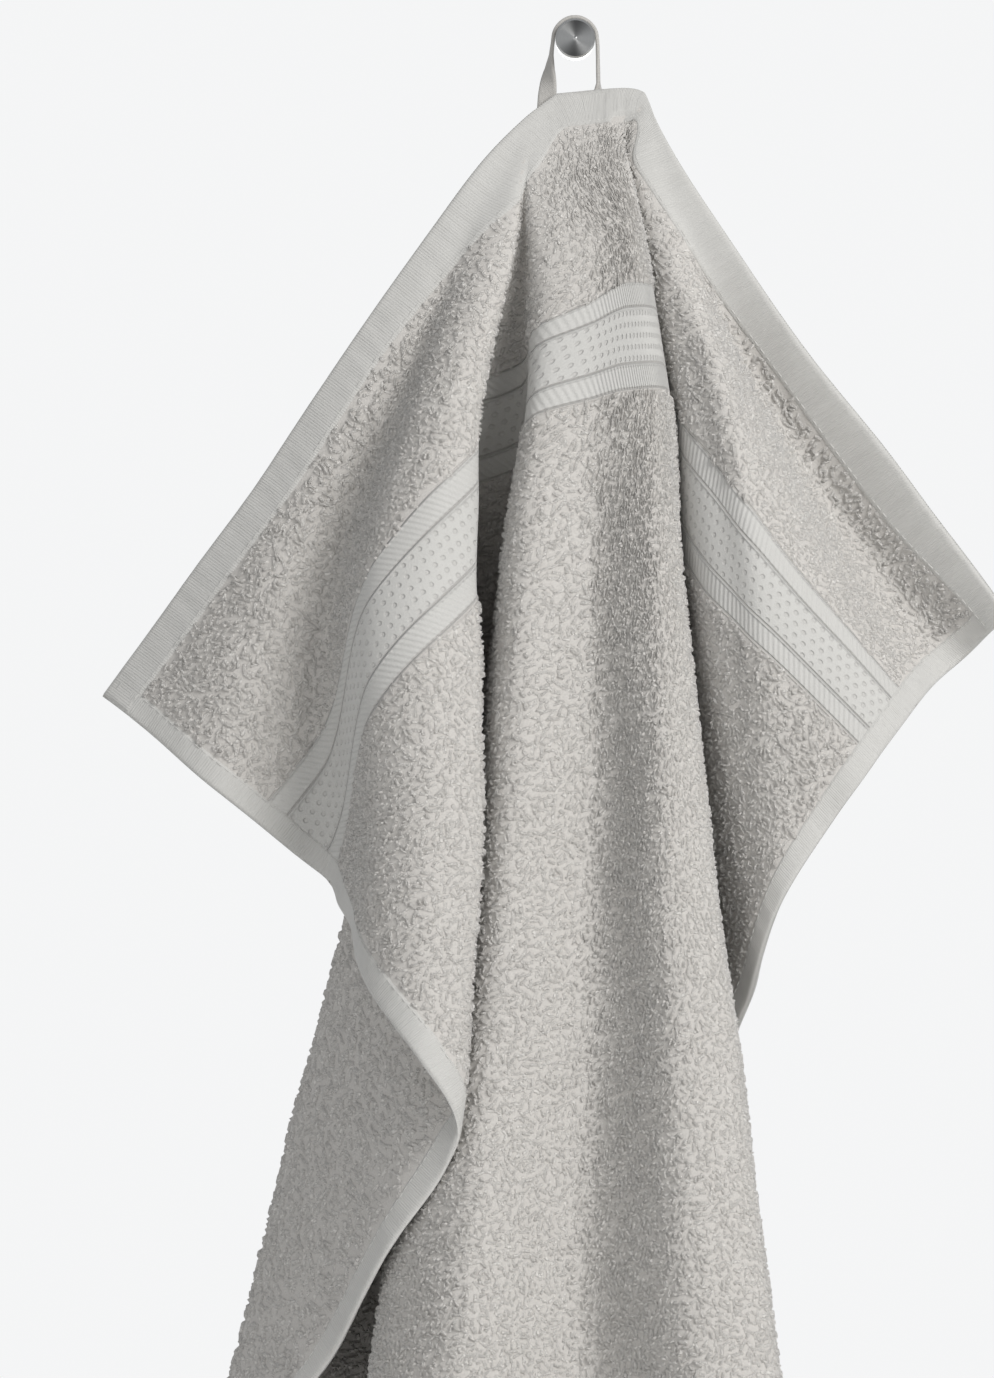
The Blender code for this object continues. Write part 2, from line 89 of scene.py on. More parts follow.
# Each fold runs out from the shoulder. share says where on the shoulder it starts, from 0, left, to 1, right.
# aside is its lean to the right and forward its lean to the viewer, in degrees, at each of FOLD_RADII.
# name, share, aside, forward
FOLDS = (
    (
        "left hem",
        0.0,
        (-52, -48, -42.5, -39.5, -37.5, -37, -37, -52),
        (24, 20, 13, 6.5, 0, -4.2, -2.5, -1),
    ),
    (
        "left panel",
        0.0,
        (-47, -43, -37, -33.4, -31, -27, -25, -33),
        (24.5, 20.5, 14.6, 8.8, 3.4, 1.6, 1, 0),
    ),
    (
        "step foot",
        0.0,
        (-43, -37, -31, -27.5, -25.5, -17.5, -12.6, -12),
        (25, 21.5, 16, 9.6, 2.6, 1, 0, 0),
    ),
    (
        "step top",
        0.0,
        (-39, -31, -26.5, -23.4, -21, -13.4, -9.6, -9.5),
        (26, 23, 19.5, 16, 13, 11.6, 12, 5.8),
    ),
    (
        "left front",
        0.0,
        (-35.5, -26.5, -20.4, -18.4, -15, -9.6, -7.2, -7.3),
        (27, 25.4, 22.5, 18.4, 15.6, 13.6, 13.4, 6.8),
    ),
    (
        "fold b",
        0.0,
        (-32, -22.8, -15.4, -14.2, -9.4, -5.8, -5.2, -5.2),
        (28, 26.6, 22, 16, 12.8, 11.6, 12, 6.4),
    ),
    (
        "back of b",
        0.0,
        (-31.4, -22.2, -15.2, -15.4, -11.6, -8.8, -8.5, -9),
        (27.9, 26.2, 18, 12, 9, 8, 8.4, 4.4),
    ),
    (
        "fold a",
        0.0,
        (-30.8, -21.6, -16, -17.6, -15.8, -14.3, -14.1, -14.1),
        (27.8, 26.2, 14.6, 5, -1.5, -3.6, -2.6, 0),
    ),
    (
        "behind a",
        0.0,
        (-30.2, -21, -14.8, -16.5, -14, -12.6, -12.6, -13),
        (27.7, 26, 13.2, 2.5, -4.6, -4.4, -2.8, -1),
    ),
    (
        "valley",
        0.0,
        (-29.6, -20.4, -12.3, -11.5, -9, -8, -7.5, -8),
        (27.7, 26, 12.8, 1.5, -4, -3.4, -1.5, 0),
    ),
    (
        "fold v",
        0.0,
        (-29, -19.7, -9.8, -6, -3.2, -3, -3, -4.6),
        (27.8, 26.1, 14, 4, -0.4, -0.4, 0.6, 1),
    ),
    (
        "back of v",
        0.0,
        (-28.4, -19, -8.4, -4.8, -3.2, -3.4, -3.4, -5),
        (27.9, 26.2, 16.6, 8, 3.8, 3, 3.4, 2.8),
    ),
    (
        "crest e",
        0.0,
        (-27.6, -18.2, -8, -5, -6.4, -6.6, -8.1, -8),
        (28.2, 26.8, 20.5, 15.4, 10.4, 6.4, 6.4, 5),
    ),
    (
        "left crest",
        0.0,
        (-14, -7, -3, -3.2, -4, -3.9, -4.6, -4.8),
        (30, 29, 24.4, 19, 14.2, 11.2, 11, 6.6),
    ),
    (
        "middle trough",
        0.5,
        (0, 0.5, 0, -0.5, -0.6, -0.5, -0.7, 0),
        (31, 30.4, 25.4, 19.2, 12.8, 9.6, 8.8, 4),
    ),
    (
        "right crest",
        0.62,
        (0.8, 3.9, 8.4, 8.0, 5.5, 4.2, 3.8, 3.9),
        (31, 30.5, 25.4, 19.6, 15, 13, 12.4, 6.4),
    ),
    (
        "fold c",
        0.7,
        (2.6, 7.0, 9.3, 9.1, 7.2, 6.6, 6.9, 6.3),
        (31.2, 29.6, 22, 16.8, 13, 11.4, 10.8, 4.4),
    ),
    (
        "back of c",
        0.71,
        (6.6, 1.6, 6.4, 7.3, 5.2, 4.3, 4.4, 3.8),
        (31, 23, 18.6, 11, 7.6, 6, 5.4, 1.4),
    ),
    (
        "fold d",
        0.72,
        (11.7, -5.5, 0.1, 0.6, -3.5, -6.1, -6.8, -6.5),
        (31, 20, 14, -1, -5.5, -4.4, -2.8, -1.1),
    ),
    (
        "back of d",
        0.73,
        (17.0, -4.8, 0.8, 4.0, 0.2, -0.8, -1.5, -1.0),
        (31, 17.4, 11, 0, -5.5, -4.3, -2.6, -1),
    ),
    (
        "right root",
        0.74,
        (21.8, 6.4, 9.5, 11.1, 9.6, 7.9, 7.3, 7.1),
        (31, 24.6, 17.4, 16.2, 13.4, 7.4, 6, 3),
    ),
    (
        "right rise",
        0.8,
        (20.5, 7.3, 10.8, 13.5, 12.2, 9.1, 8.2, 8.8),
        (31, 26.4, 19, 18.4, 15.8, 8.8, 8, 4),
    ),
    (
        "right ridge",
        0.86,
        (18.1, 7.5, 12.4, 16.6, 14.6, 11.3, 10.2, 12.3),
        (31, 26.6, 19.6, 20, 17.6, 10, 9.4, 6),
    ),
    (
        "right slope",
        0.91,
        (17.4, 10.2, 14.9, 19.0, 19.4, 19.6, 19.0, 26.2),
        (31, 26.2, 18.4, 15, 14.5, 9.4, 9, 8),
    ),
    (
        "right trough",
        0.96,
        (16.6, 14.4, 18.2, 21.1, 24.7, 29.3, 29.2, 42.1),
        (31, 25.4, 15.4, 7.6, 4.4, 4.4, 5, 5),
    ),
    (
        "right hem",
        1.0,
        (17.6, 23.6, 28.6, 31.0, 33.8, 34.4, 34.0, 52.0),
        (31.2, 26, 17, 11.4, 8.6, 8.2, 8, 8),
    ),
)

# Where some folds run on the flat towel, at each of FOLD_RADII: the angle at the shoulder, from 0 at the left
# hem to 180 at the right hem, and how much of the shoulder lies to the fold's left, from 0 to 1
# fold's number, angle, shoulder
PINNED_FOLDS = (
    (5, (8, 14, 25, 33.5, 37.6, 41.2, 46.4, 54), (0, 0, 0, 0, 0, 0, 0, 0)),
    (12, (14, 22, 45, 66, 74.5, 78, 80, 80), (0, 0, 0, 0, 0, 0, 0, 0)),
    (13, (32, 36, 49, 69.5, 79.5, 84.5, 86.4, 84), (0, 0, 0, 0, 0, 0, 0, 0)),
    (14, (90, 88, 69, 80, 87.5, 90, 90, 90), (0.4, 0.45, 0, 0, 0, 0.14, 0.5, 0.2)),
    (15, (90, 90, 90, 90, 90, 92.5, 94, 93.4), (0.62, 0.8, 0.37, 0.58, 0.98, 1, 1, 1)),
    (16, (91, 91, 91.5, 99, 98.5, 98, 98, 97), (0.72, 1, 1, 1, 1, 1, 1, 1)),
    (20, (140, 150, 150, 143.5, 142.5, 135, 133, 128), (0.74, 1, 1, 1, 1, 1, 1, 1)),
    (22, (152, 158, 158, 153.2, 151.1, 142.3, 140.5, 137), (0.86, 1, 1, 1, 1, 1, 1, 1)),
    (24, (167, 169, 169.5, 169, 171, 169, 167, 160), (0.95, 1, 1, 1, 1, 1, 1, 1)),
)
SECTION_POINTS = 1441
POINTS_PER_FOLD = 32

# Between FOLD_RADII the folds are smooth along the logarithm of the distance plus this
RADIUS_OFFSET = 20.0
FOLD_SCALE = np.log(np.array(FOLD_RADII, float) + RADIUS_OFFSET)

# The distances from the shoulder at which the drape is worked out: the first two, and then runs of even steps
FIRST_RADII = (0.0, 1.5)
# from, to, steps
RADIUS_RUNS = (
    (4.0, 60.0, 28),
    (60.0, 260.0, 80),
    (260.0, 940.0, 136),
)

# The way the cloth faces is measured over this reach, which grows with the distance from the shoulder
REACH_GROWTH = 30.0
REACH_LEAST = 0.4
REACH_MOST = 2.0

# The rounded corner of the hem at the shoulder's right end
CORNER_DROP = 2.4
CORNER_REACH = 3.2
CORNER_ACROSS = 0.6

# The soft waves of a washed towel, which start away from the shoulder
EVEN_RADIUS = 40.0
EVEN_FADE = 120.0
WAVE_HEIGHT = 0.55
RIPPLE_HEIGHT = 0.35
RUFFLE_HEIGHT = 0.9
RUFFLE_REACH = 12.0

# The ground cloth's columns run out from the shoulder, at angles from 0, left hem, to 180, right hem
# from, to, columns
COLUMN_RUNS = (
    (0.0, 30.0, 28),
    (30.0, 74.83, 82),
    (74.83, 90.0, 40),
    (90.0, 104.16, 38),
    (104.16, 145.0, 74),
    (145.0, 180.0, 38),
)
SHOULDER_COLUMNS = 8
FAN_SPREAD = 24.0
ROWS = 104
ROW_POWER = 1.35
GROUND_INSET = 0.35

# The side hems stop this short of the towel's ends, and every hem has rounded edges and fine puckers
SIDE_HEM_SHORT = 1.0
HEM_EDGE_RADIUS = 0.9
PUCKER_HEIGHT = 0.16

# The path of the loop's tape, from its left end behind the hem to its right end.
# turn is 0 where the tape's width runs along Y, as on the peg, and 90 where it faces the viewer.
# x, y, z, turn
TAPE_PATH = (
    (-9.6, -27.3, -28.5, 90),
    (-9.4, -26.1, -24.0, 90),
    (-9.1, -24.8, -19.5, 86),
    (-8.7, -24.0, -14.5, 62),
    (-8.2, -24.0, -9.5, 24),
    (-7.7, -24.0, -5.0, 4),
    (-7.25, -24.0, -1.2, 0),
    (-6.6, -24.0, 2.6, 0),
    (-5.0, -24.0, 5.0, 0),
    (-2.6, -24.0, 6.65, 0),
    (0.0, -24.0, 7.15, 0),
    (2.6, -24.0, 6.65, 0),
    (5.0, -24.0, 5.0, 0),
    (6.6, -24.0, 2.6, 0),
    (7.2, -24.0, -1.2, 0),
    (7.3, -23.8, -5.0, 0),
    (7.4, -23.2, -9.5, 2),
    (7.5, -22.6, -14.0, 2),
    (7.6, -23.4, -18.5, 30),
    (7.6, -26.1, -23.0, 80),
    (7.6, -28.8, -27.5, 90),
)
TAPE_STEPS = 8
TAPE_COLUMNS = 8
TAPE_EDGE_ROUND = 0.5
TAPE_EDGE_SHARE = 0.25
TAPE_CLEARANCE = 0.02

# The terry loops of each face: sizes are length, width and height
FRONT_LOOP_SPACING = 2.13
FRONT_LOOP_SIZE = (3.0, 1.3, 1.1)
FRONT_PIECES = 4
BACK_LOOP_SPACING = 3.15
BACK_LOOP_SIZE = (4.4, 2.1, 1.0)
BACK_PIECES = 3
FIRST_LOOP = 0.6
LAST_LOOP = 0.4
HEM_CLEARANCE = 0.3
BORDER_CLEARANCE = 0.5
LOOP_SHIFT = 0.36
LOOP_BEND = 0.25
LOOP_SUNK = 0.15

# The hems' stitches
STITCH_LENGTH = 2.4
STITCH_WIDTH = 0.42
STITCH_HEIGHT = 0.26
STITCH_SPACING = 3.1
STITCH_SUNK = 0.08
STITCH_RING = 5
SIDE_LINE = SIDE_HEM_WIDTH - 1.1
END_LINE = TOP_HEM_DEPTH - 1.6


def smooth_value(x, xs, ys):
    """The value at x of a smooth curve through the points, which doesn't overshoot them."""
    xs = np.asarray(xs, float)
    ys = np.asarray(ys, float)
    step = np.diff(xs)
    slope = np.diff(ys) / step
    at = np.zeros_like(ys)
    at[0] = slope[0]
    at[-1] = slope[-1]
    for k in range(1, len(xs) - 1):
        if slope[k - 1] * slope[k] > 0:
            before = 2 * step[k] + step[k - 1]
            after = step[k] + 2 * step[k - 1]
            at[k] = (before + after) / (before / slope[k - 1] + after / slope[k])
    x = np.clip(x, xs[0], xs[-1])
    k = np.clip(np.searchsorted(xs, x) - 1, 0, len(step) - 1)
    t = (x - xs[k]) / step[k]
    low = (1 + 2 * t) * (1 - t) ** 2 * ys[k] + t * (1 - t) ** 2 * step[k] * at[k]
    return low + t * t * (3 - 2 * t) * ys[k + 1] + t * t * (t - 1) * step[k] * at[k + 1]


def fold_points(radius):
    """Where each fold is at this distance from the shoulder."""
    x = math.log(radius + RADIUS_OFFSET)
    points = []
    for _, share, asides, forwards in FOLDS:
        aside = math.radians(smooth_value(x, FOLD_SCALE, asides))
        forward = math.radians(smooth_value(x, FOLD_SCALE, forwards))
        start = SHOULDER_LEFT + (SHOULDER_RIGHT - SHOULDER_LEFT) * share
        level = math.cos(forward)
        way = np.array([math.sin(aside) * level, -math.sin(forward), -math.cos(aside) * level])
        points.append(start + radius * way)
    return np.array(points)


def rounded_curve(points, per_span):
    """A centripetal Catmull-Rom curve through the points."""
    p = np.vstack([2 * points[0] - points[1], points, 2 * points[-1] - points[-2]])
    spans = []
    for k in range(1, len(p) - 2):
        a, b, c, d = p[k - 1 : k + 3]
        gaps = np.linalg.norm(np.diff(p[k - 1 : k + 3], axis=0), axis=1)
        t0, t1, t2, t3 = np.concatenate([[0.0], np.cumsum(np.sqrt(np.maximum(gaps, 1e-6)))])
        t = np.linspace(t1, t2, per_span, endpoint=False)[:, None]
        ab = ((t1 - t) * a + (t - t0) * b) / (t1 - t0)
        bc = ((t2 - t) * b + (t - t1) * c) / (t2 - t1)
        cd = ((t3 - t) * c + (t - t2) * d) / (t3 - t2)
        abc = ((t2 - t) * ab + (t - t0) * bc) / (t2 - t0)
        bcd = ((t3 - t) * bc + (t - t1) * cd) / (t3 - t1)
        spans.append(((t2 - t) * abc + (t - t1) * bcd) / (t2 - t1))
    return np.vstack(spans + [points[-1:]])


def drape_sections():
    """Sections of the draped cloth at growing distances from the shoulder, spaced evenly along the cloth."""
    runs = [np.linspace(first, last, steps + 1)[:-1] for first, last, steps in RADIUS_RUNS]
    radii = np.concatenate([FIRST_RADII, *runs, [RADIUS_RUNS[-1][1]]])
    shoulder = SHOULDER_RIGHT_U - SHOULDER_LEFT_U
    sections = []
    for radius in radii:
        curve = rounded_curve(fold_points(radius), POINTS_PER_FOLD)
        steps = np.linalg.norm(np.diff(curve, axis=0), axis=1)
        along = np.concatenate([[0.0], np.cumsum(steps)])
        whole = math.pi * radius + shoulder
        pins = [(0.0, 0.0), (whole, along[-1])]
        if radius > 0:
            for fold, turns, shares in PINNED_FOLDS:
                turn = smooth_value(math.log(radius + RADIUS_OFFSET), FOLD_SCALE, turns)
                share = smooth_value(math.log(radius + RADIUS_OFFSET), FOLD_SCALE, shares)
                pins.append((radius * math.radians(turn) + shoulder * share, along[fold * POINTS_PER_FOLD]))
        cloths, places = np.array(sorted(pins)).T
        at = smooth_value(np.linspace(0.0, whole, SECTION_POINTS), cloths, places)
        sections.append(np.stack([np.interp(at, along, curve[:, axis]) for axis in range(3)], axis=1))
    return radii, np.array(sections)


RADII, SECTIONS = drape_sections()


def shoulder_distance(u, v):
    return np.hypot(u - np.clip(u, SHOULDER_LEFT_U, SHOULDER_RIGHT_U), v)


def place_cloth(u, v):
    """Where points of the flat towel are when it hangs: u from the left edge, v down from the top edge."""
    nearest = np.clip(u, SHOULDER_LEFT_U, SHOULDER_RIGHT_U)
    radius = np.hypot(u - nearest, v)
    left_turn = np.arctan2(v, np.abs(nearest - u))
    turn = np.where(u < SHOULDER_LEFT_U, left_turn, math.pi - left_turn)
    turn = np.where(nearest == u, math.pi / 2, turn)
    along = radius * turn + nearest - SHOULDER_LEFT_U
    whole = math.pi * radius + SHOULDER_RIGHT_U - SHOULDER_LEFT_U
    column = along / whole * (SECTION_POINTS - 1)
    row = np.interp(radius, RADII, np.arange(len(RADII)))
    i = np.clip(column.astype(int), 0, SECTION_POINTS - 2)
    j = np.clip(row.astype(int), 0, len(RADII) - 2)
    a = (column - i)[..., None]
    b = (row - j)[..., None]
    upper = (1 - a) * SECTIONS[j, i] + a * SECTIONS[j, i + 1]
    lower = (1 - a) * SECTIONS[j + 1, i] + a * SECTIONS[j + 1, i + 1]
    return (1 - b) * upper + b * lower


def unevenness(u, v):
    """Soft waves of a washed towel, and the slight ruffle of its side hems, as a height in millimetres."""
    free = np.clip((shoulder_distance(u, v) - EVEN_RADIUS) / EVEN_FADE, 0.0, 1.0)
    # Each sine divides by its wave's length over 2 pi, and what it adds is where the wave starts
    wave = WAVE_HEIGHT * np.sin(u / 17.0 + 1.3 * np.sin(v / 41.0)) * np.sin(v / 23.0 + 0.7)
    wave += RIPPLE_HEIGHT * np.sin(u / 9.1 - v / 13.7 + 2.1) * np.sin(v / 31.0 + u / 57.0)
    edge = np.exp(-np.minimum(u, TOWEL_WIDTH - u) / RUFFLE_REACH)
    ruffle = RUFFLE_HEIGHT * edge * np.sin(v / 8.3 + 1.1 * np.sin(v / 19.0))
    return free * (wave + ruffle)


def gather_press(u, v):
    """The share of its thickness that the cloth keeps where it is gathered: 1 where it hangs free."""
    share = np.clip((shoulder_distance(u, v) - GATHER_START) / GATHER_RADIUS, 0.0, 1.0)
    return GATHER_PRESS + (1.0 - GATHER_PRESS) * share


def hang(flat):
    """Hangs points of the flat towel, given as across, down and height off the cloth's middle."""
    u, v, height = flat.T
    reach = np.clip(shoulder_distance(u, v) / REACH_GROWTH, REACH_LEAST, REACH_MOST)
    middle = place_cloth(u, v)
    # The rounded corner, and then the pinch below it
    from_corner = np.hypot((u - SHOULDER_RIGHT_U) * CORNER_ACROSS, v)
    middle[:, 2] -= CORNER_DROP * np.exp(-from_corner / CORNER_REACH)
    pinch = PINCH_TO - PINCH_FROM
    seen = middle[:, [0, 2]] - PINCH_FROM
    share = np.clip(seen @ pinch / (pinch @ pinch), 0.0, 1.0)
    from_pinch = np.linalg.norm(seen - share[:, None] * pinch, axis=1)
    middle[:, 1] += PINCH_DEPTH * (1 - PINCH_FADE * share) * np.exp(-((from_pinch / PINCH_WIDTH) ** 2))
    across = place_cloth(u + reach, v) - place_cloth(u - reach, v)
    down = place_cloth(u, v + reach) - place_cloth(u, np.maximum(v - reach, 0.01))
    front = np.cross(down, across)
    front /= np.maximum(np.linalg.norm(front, axis=1, keepdims=True), 1e-9)
    off = height * gather_press(u, v) + unevenness(u, v)
    return middle + front * off[:, None]


def mesh_points(mesh):
    points = np.empty(len(mesh.vertices) * 3)
    mesh.vertices.foreach_get("co", points)
    return points.reshape(-1, 3)


def set_mesh_points(mesh, points):
    mesh.vertices.foreach_set("co", np.ascontiguousarray(points, float).ravel())
    mesh.update()


def set_pattern(mesh, places):
    """Writes the cloth's own coordinates, in metres, as the mesh's UV map, from one place per vertex."""
    layer = mesh.uv_layers.new(name="cloth")
    corners = np.empty(len(mesh.loops), int)
    mesh.loops.foreach_get("vertex_index", corners)
    layer.data.foreach_set("uv", places[corners].ravel())


def finish_piece(thing, finish):
    """Gives a piece its material and slot, and makes it go with the towel."""
    thing.data.materials.clear()
    thing.data.materials.append(finish)
    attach(thing, "root")
    return thing


def flat_slab(name, across, down):
    """A closed slab with so many faces across and down, from 0 to 1 each way and from -1 to 1 in height."""
    made = bmesh.new()
    bmesh.ops.create_grid(made, x_segments=across, y_segments=down, size=0.5)
    bmesh.ops.translate(made, verts=made.verts, vec=(0.5, 0.5, 1.0))
    lower = bmesh.ops.extrude_face_region(made, geom=made.faces[:], use_keep_orig=True)
    moved = [part for part in lower["geom"] if isinstance(part, bmesh.types.BMVert)]
    bmesh.ops.translate(made, verts=moved, vec=(0.0, 0.0, -2.0))
    bmesh.ops.recalc_face_normals(made, faces=made.faces)
    for face in made.faces:
        face.smooth = True
    mesh = bpy.data.meshes.new(name)
    made.to_mesh(mesh)
    made.free()
    thing = bpy.data.objects.new(name, mesh)
    bpy.context.scene.collection.objects.link(thing)
    return thing


def face_outwards(thing):
    made = bmesh.new()
    made.from_mesh(thing.data)
    bmesh.ops.recalc_face_normals(made, faces=made.faces)
    made.to_mesh(thing.data)
    made.free()


def edge_point(angle):
    """Where a line from the shoulder at this angle leaves the flat towel."""
    turn = math.radians(angle)
    start = SHOULDER_LEFT_U if angle <= 90 else SHOULDER_RIGHT_U
    side = start if angle <= 90 else TOWEL_WIDTH - start
    reach = TOWEL_LENGTH / max(math.sin(turn), 1e-9)
    if abs(math.cos(turn)) > 1e-9:
        reach = min(reach, side / abs(math.cos(turn)))
    return start - reach * math.cos(turn), reach * math.sin(turn)


def ground_columns():
    """The start and end of each column of the ground cloth on the flat towel."""
    columns = []
    for first, last, count in COLUMN_RUNS:
        if first == 90.0:
            for k in range(1, SHOULDER_COLUMNS):
                u = SHOULDER_LEFT_U + (SHOULDER_RIGHT_U - SHOULDER_LEFT_U) * k / SHOULDER_COLUMNS
                columns.append(((u, 0.0), (u, TOWEL_LENGTH)))
            columns.append(((SHOULDER_RIGHT_U, 0.0), (SHOULDER_RIGHT_U, TOWEL_LENGTH)))
        for k in range(0 if first == 0.0 else 1, count + 1):
            angle = first + (last - first) * k / count
            if angle <= 90.0:
                start = SHOULDER_LEFT_U - FAN_SPREAD * (1 - angle / 90.0)
            else:
                start = SHOULDER_RIGHT_U + FAN_SPREAD * (angle / 90.0 - 1)
            columns.append(((start, 0.0), edge_point(angle)))
    return np.array(columns)


def make_ground_cloth(finish):
    """The woven ground of the towel, from which the loops stand."""
    columns = ground_columns()
    thing = flat_slab("towel_cloth", len(columns) - 1, ROWS)
    flat = mesh_points(thing.data)
    column = np.rint(flat[:, 0] * (len(columns) - 1)).astype(int)
    share = flat[:, 1] ** ROW_POWER
    starts = columns[column, 0]
    ends = columns[column, 1]
    places = starts + (ends - starts) * share[:, None]
    u = np.clip(places[:, 0], GROUND_INSET, TOWEL_WIDTH - GROUND_INSET)
    v = np.clip(places[:, 1], GROUND_INSET, TOWEL_LENGTH - GROUND_INSET)
    set_mesh_points(thing.data, hang(np.stack([u, v, flat[:, 2] * GROUND_THICKNESS / 2], axis=1)) / 1000)
    set_pattern(thing.data, np.stack([u, v], axis=1) / 1000)
    face_outwards(thing)
    return finish_piece(thing, finish)


def make_hem(name, finish, start, end, runs_down, across, along, thickness):
    """A flat woven turn-over that wraps the towel's edge, from one corner of the flat towel to the other."""
    faces = (across, along) if runs_down else (along, across)
    thing = flat_slab(name, *faces)
    flat = mesh_points(thing.data)
    spread = flat[:, :2].copy()
    narrow = 0 if runs_down else 1
    spread[:, narrow] = 0.5 - 0.5 * np.cos(math.pi * spread[:, narrow])
    start = np.array(start)
    end = np.array(end)
    places = start + (end - start) * spread
    from_edge = np.minimum(places - start, end - places)
    inside = np.clip(from_edge.min(axis=1) / HEM_EDGE_RADIUS, 0.0, 1.0)
    height = thickness / 2 * np.sqrt(1 - (1 - inside) ** 2)
    length = places[:, 1 - narrow]
    depth = places[:, narrow]
    pucker = np.sin(length / 1.9 + 1.7 * np.sin(length / 7.3)) * np.sin(length / 11.0 + depth / 6.0)
    height += PUCKER_HEIGHT * pucker * inside
    set_mesh_points(thing.data, hang(np.column_stack([places, height * flat[:, 2]])) / 1000)
    # The hem's ribs run across it, whichever way it runs
    pattern = places[:, ::-1] if runs_down else places
    set_pattern(thing.data, pattern / 1000)
    face_outwards(thing)
    return finish_piece(thing, finish)


def joined_shapes(name, points, faces, marks):
    """One mesh from points, sets of faces with as many corners each, and named values, one per vertex."""
    mesh = bpy.data.meshes.new(name)
    corner_count = sum(rows.size for rows in faces)
    face_count = sum(len(rows) for rows in faces)
    sizes = np.concatenate([np.full(len(rows), rows.shape[1]) for rows in faces])
    mesh.vertices.add(len(points))
    mesh.loops.add(corner_count)
    mesh.polygons.add(face_count)
    mesh.vertices.foreach_set("co", np.ascontiguousarray(points, np.float32).ravel())
    mesh.loops.foreach_set("vertex_index", np.concatenate([rows.ravel() for rows in faces]).astype(np.int32))
    starts = np.concatenate([[0], np.cumsum(sizes)[:-1]])
    mesh.polygons.foreach_set("loop_start", starts.astype(np.int32))
    mesh.polygons.foreach_set("use_smooth", np.ones(face_count, bool))
    mesh.update(calc_edges=True)
    for mark, values in marks.items():
        layer = mesh.attributes.new(mark, "FLOAT", "POINT")
        layer.data.foreach_set("value", np.ascontiguousarray(values, np.float32))
    thing = bpy.data.objects.new(name, mesh)
    bpy.context.scene.collection.objects.link(thing)
    return thing


def loop_places(spacing, chance):
    """Where terry loops stand on the flat towel: everywhere but on the hems and the borders."""
    across = np.arange(SIDE_HEM_WIDTH + FIRST_LOOP, TOWEL_WIDTH - SIDE_HEM_WIDTH - LAST_LOOP, spacing)
    down = np.arange(TOP_HEM_DEPTH + FIRST_LOOP, TOWEL_LENGTH - TOP_HEM_DEPTH - LAST_LOOP, spacing)
    u, v = np.meshgrid(across, down)
    u = u + spacing / 2 * (np.arange(len(down)) % 2)[:, None]
    u = (u + chance.uniform(-LOOP_SHIFT, LOOP_SHIFT, u.shape) * spacing).ravel()
    v = (v + chance.uniform(-LOOP_SHIFT, LOOP_SHIFT, v.shape) * spacing).ravel()
    from_end = np.minimum(v, TOWEL_LENGTH - v)
    on_border = (from_end > BORDER_START - BORDER_CLEARANCE) & (from_end < BORDER_END + BORDER_CLEARANCE)
    from_side = np.minimum(u, TOWEL_WIDTH - u)
    off_hems = (from_side > SIDE_HEM_WIDTH + HEM_CLEARANCE) & (from_end > TOP_HEM_DEPTH + HEM_CLEARANCE)
    kept = off_hems & ~on_border
    return u[kept], v[kept]


def make_terry(name, finish, side, u, v, chance, length, width, height):
    """Terry loops as small rounded ridges that lie in all directions."""
    count = len(u)
    turn = chance.uniform(0, math.pi, count)
    long = length * chance.uniform(0.75, 1.25, count)
    wide = width * chance.uniform(0.8, 1.2, count)
    tall = height * chance.uniform(0.7, 1.3, count)
    bend = chance.uniform(-LOOP_BEND, LOOP_BEND, count)
    # The ridge's corners, in shares of its length, width and height
    # along, aside, up
    shape = np.array(
        (
            (-0.5, -0.5, 0.0),
            (0.5, -0.5, 0.0),
            (0.5, 0.5, 0.0),
            (-0.5, 0.5, 0.0),
            (-0.26, 0.0, 1.0),
            (0.26, 0.0, 1.0),
        )
    )
    along = shape[None, :, 0] * long[:, None]
    aside = shape[None, :, 1] * wide[:, None] + bend[:, None] * shape[None, :, 2]
    up = shape[None, :, 2] * tall[:, None]
    cosine = np.cos(turn)[:, None]
    sine = np.sin(turn)[:, None]
    places = np.stack(
        [
            u[:, None] + along * cosine - aside * sine,
            v[:, None] + along * sine + aside * cosine,
            side * (GROUND_THICKNESS / 2 - LOOP_SUNK + up),
        ],
        axis=2,
    ).reshape(-1, 3)
    first = np.arange(count)[:, None] * len(shape)
    if side > 0:
        quads = np.array(((0, 4, 5, 1), (2, 5, 4, 3)))
        ends = np.array(((1, 5, 2), (3, 4, 0)))
    else:
        quads = np.array(((1, 5, 4, 0), (3, 4, 5, 2)))
        ends = np.array(((2, 5, 1), (0, 4, 3)))
    quad_rows = (first[:, None] + quads[None]).reshape(-1, 4)
    end_rows = (first[:, None] + ends[None]).reshape(-1, 3)
    tone = np.repeat(chance.uniform(0, 1, count), len(shape))
    tip = np.tile(shape[:, 2], count)
    thing = joined_shapes(name, hang(places) / 1000, [quad_rows, end_rows], {"tone": tone, "tip": tip})
    return finish_piece(thing, finish)


